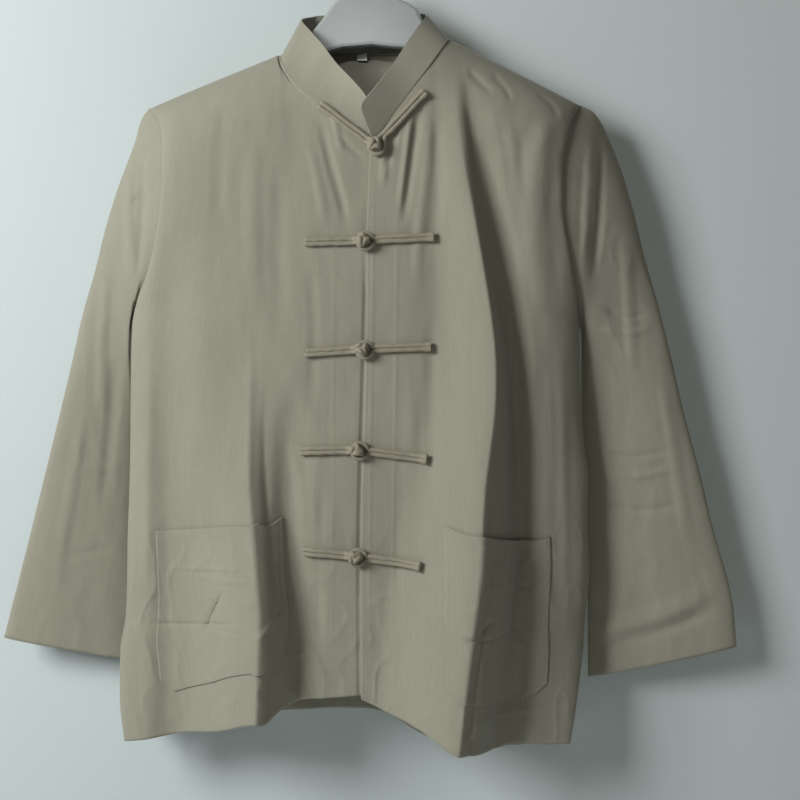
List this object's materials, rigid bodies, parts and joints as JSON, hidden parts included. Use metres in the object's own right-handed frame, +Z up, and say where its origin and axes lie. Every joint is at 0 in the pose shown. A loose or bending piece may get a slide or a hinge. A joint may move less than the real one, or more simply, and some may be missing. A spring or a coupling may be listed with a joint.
{
  "type": "chinese-style jacket on a hanger",
  "caption": "Chinese-style stand-collar jacket with knotted frogs and two patch pockets, open at neck, hem and cuffs, hung on a moulded hanger",
  "frame": {"origin": "inner top of the hanger's hook, where a rail carries it", "axes": "+X across the jacket to the viewer's right, +Y from the front to the back, +Z up; the front faces -Y"},
  "size_m": [0.8244, 0.1539, 0.9228],
  "materials": {
    "cloth": "matte woven cotton",
    "cord": "matte bias-cut cotton cord",
    "label": "woven tape",
    "hanger": "satin moulded plastic",
    "hook": "bright plated wire"
  },
  "bodies": {
    "root": {"front_left": "cloth", "front_right": "cloth", "back": "cloth", "sleeve_left": "cloth", "sleeve_right": "cloth", "collar": "cloth", "pocket_left": "cloth", "pocket_right": "cloth", "frog_button_1": "cord", "frog_button_2": "cord", "frog_button_3": "cord", "frog_button_4": "cord", "frog_button_5": "cord", "frog_loop_1": "cord", "frog_loop_2": "cord", "frog_loop_3": "cord", "frog_loop_4": "cord", "frog_loop_5": "cord", "neck_label": "label", "hanger": "hanger", "hook": "hook"}
  },
  "joints": []
}
